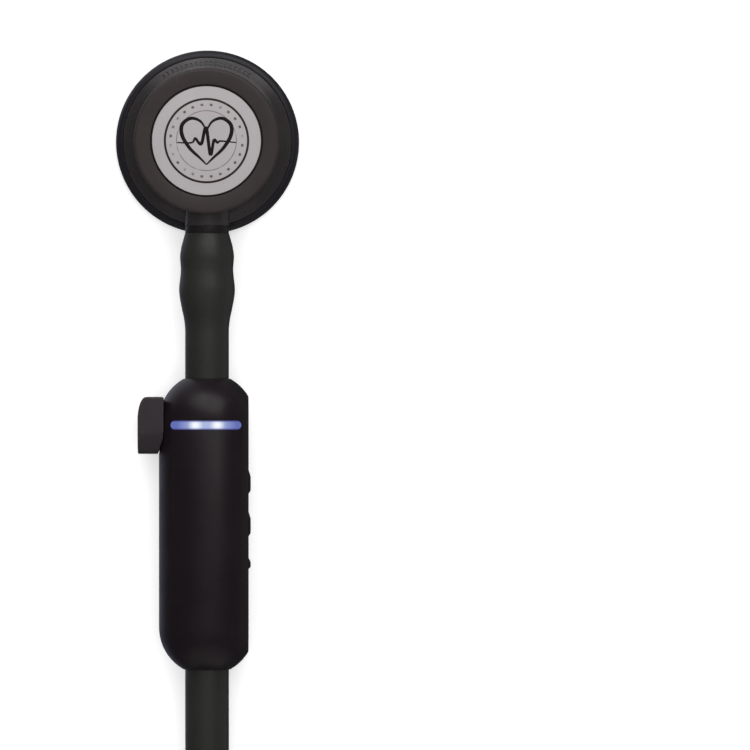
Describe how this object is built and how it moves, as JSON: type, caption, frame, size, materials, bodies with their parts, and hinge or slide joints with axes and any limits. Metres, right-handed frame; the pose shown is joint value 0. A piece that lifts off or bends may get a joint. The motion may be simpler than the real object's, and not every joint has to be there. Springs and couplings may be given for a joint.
{
  "type": "electronic stethoscope",
  "caption": "Two-sided chestpiece on a short tube, in-line electronics module with lit bar, slider and side keys, tube, sprung Y yoke and ear tubes, laid flat.",
  "frame": {"origin": "centre of the large diaphragm's flat face, which rests on the table", "axes": "+Z out through the small diaphragm, +Y away from the tube, so that the stem, tube and module run along -Y; the headset lies folded back on the -X side"},
  "size_m": [0.1937, 0.3552, 0.0246],
  "materials": {
    "enamel": "satin black enamel",
    "rim": "soft satin black",
    "film": "fine-grained black film",
    "medallion": "satin silver-grey print",
    "stem_enamel": "satin black",
    "bright_steel": "turned",
    "spring_steel": "drawn",
    "seal": "matt",
    "tubing": "satin moulded",
    "shell": "fine satin texture",
    "slider": "fine satin texture",
    "keys": "soft matt",
    "window": "frosted, lit blue from behind",
    "inner_plastic": "moulded",
    "board": "solder mask",
    "cell": "foil pouch",
    "ear_enamel": "satin black",
    "ear_silicone": "soft matt"
  },
  "bodies": {
    "module": {"stem": "stem_enamel", "stem_o_ring_inner": "seal", "stem_o_ring_outer": "seal", "chest_tube": "tubing", "module_front_shell": "shell", "module_back_shell": "shell", "shell_screw_1": "bright_steel", "shell_screw_2": "bright_steel", "shell_screw_3": "bright_steel", "shell_screw_4": "bright_steel", "upper_nozzle": "inner_plastic", "lower_nozzle": "inner_plastic", "microphone": "bright_steel", "microphone_boot": "seal", "speaker": "bright_steel", "speaker_boot": "seal", "light_window": "window", "light_board": "board", "status_led_left": "window", "status_led_right": "window", "main_board": "board", "battery": "cell", "slide_switch": "inner_plastic", "volume_up_switch": "inner_plastic", "volume_down_switch": "inner_plastic", "pairing_switch": "inner_plastic", "charging_socket": "bright_steel", "headset_tube": "tubing", "yoke": "tubing", "yoke_leaf_spring": "spring_steel"},
    "chestpiece": {"chestpiece_body": "enamel", "large_rim_ring": "rim", "small_rim_ring": "rim", "stem_retaining_screw": "bright_steel", "detent_ball": "bright_steel", "detent_spring": "spring_steel", "detent_plug": "bright_steel"},
    "large_membrane": {"large_diaphragm": "film"},
    "small_membrane": {"small_diaphragm": "medallion"},
    "slider": {"power_slider": "slider", "slide_switch_lever": "inner_plastic"},
    "volume_up_key": {"volume_up_button": "keys"},
    "volume_down_key": {"volume_down_button": "keys"},
    "pairing_key": {"pairing_button": "keys"},
    "left_ear": {"left_branch_tube": "tubing", "left_ear_tube": "ear_enamel", "left_tip_ferrule": "bright_steel", "left_ear_tip": "ear_silicone"},
    "right_ear": {"right_branch_tube": "tubing", "right_ear_tube": "ear_enamel", "right_tip_ferrule": "bright_steel", "right_ear_tip": "ear_silicone"}
  },
  "joints": [
    {"name": "chestpiece_swivel", "type": "hinge", "parent": "module", "child": "chestpiece", "pos_m": [0, 0, 0.0123], "axis": [0, 1, 0], "continuous": true},
    {"name": "large_membrane_float", "type": "slide", "parent": "chestpiece", "child": "large_membrane", "axis": [0, 0, 1], "range_m": [0, 0.0004], "stiffness_N_per_m": 3000},
    {"name": "small_membrane_float", "type": "slide", "parent": "chestpiece", "child": "small_membrane", "axis": [0, 0, -1], "range_m": [0, 0.0004], "stiffness_N_per_m": 3000},
    {"name": "power_slide", "type": "slide", "parent": "module", "child": "slider", "axis": [0, -1, 0], "range_m": [0, 0.0045]},
    {"name": "volume_up_press", "type": "slide", "parent": "module", "child": "volume_up_key", "axis": [-1, 0, 0], "range_m": [0, 0.0004], "stiffness_N_per_m": 2000},
    {"name": "volume_down_press", "type": "slide", "parent": "module", "child": "volume_down_key", "axis": [-1, 0, 0], "range_m": [0, 0.0004], "stiffness_N_per_m": 2000},
    {"name": "pairing_press", "type": "slide", "parent": "module", "child": "pairing_key", "axis": [-1, 0, 0], "range_m": [0, 0.0004], "stiffness_N_per_m": 2000},
    {"name": "left_ear_spread", "type": "hinge", "parent": "module", "child": "left_ear", "pos_m": [-0.12987, -0.10461, 0.0071], "axis": [0, 0, 1], "range_deg": [0, 15], "stiffness_Nm_per_rad": 1.2},
    {"name": "right_ear_spread", "type": "hinge", "parent": "module", "child": "right_ear", "pos_m": [-0.10612, -0.10461, 0.0071], "axis": [0, 0, -1], "range_deg": [0, 15], "stiffness_Nm_per_rad": 1.2}
  ]
}
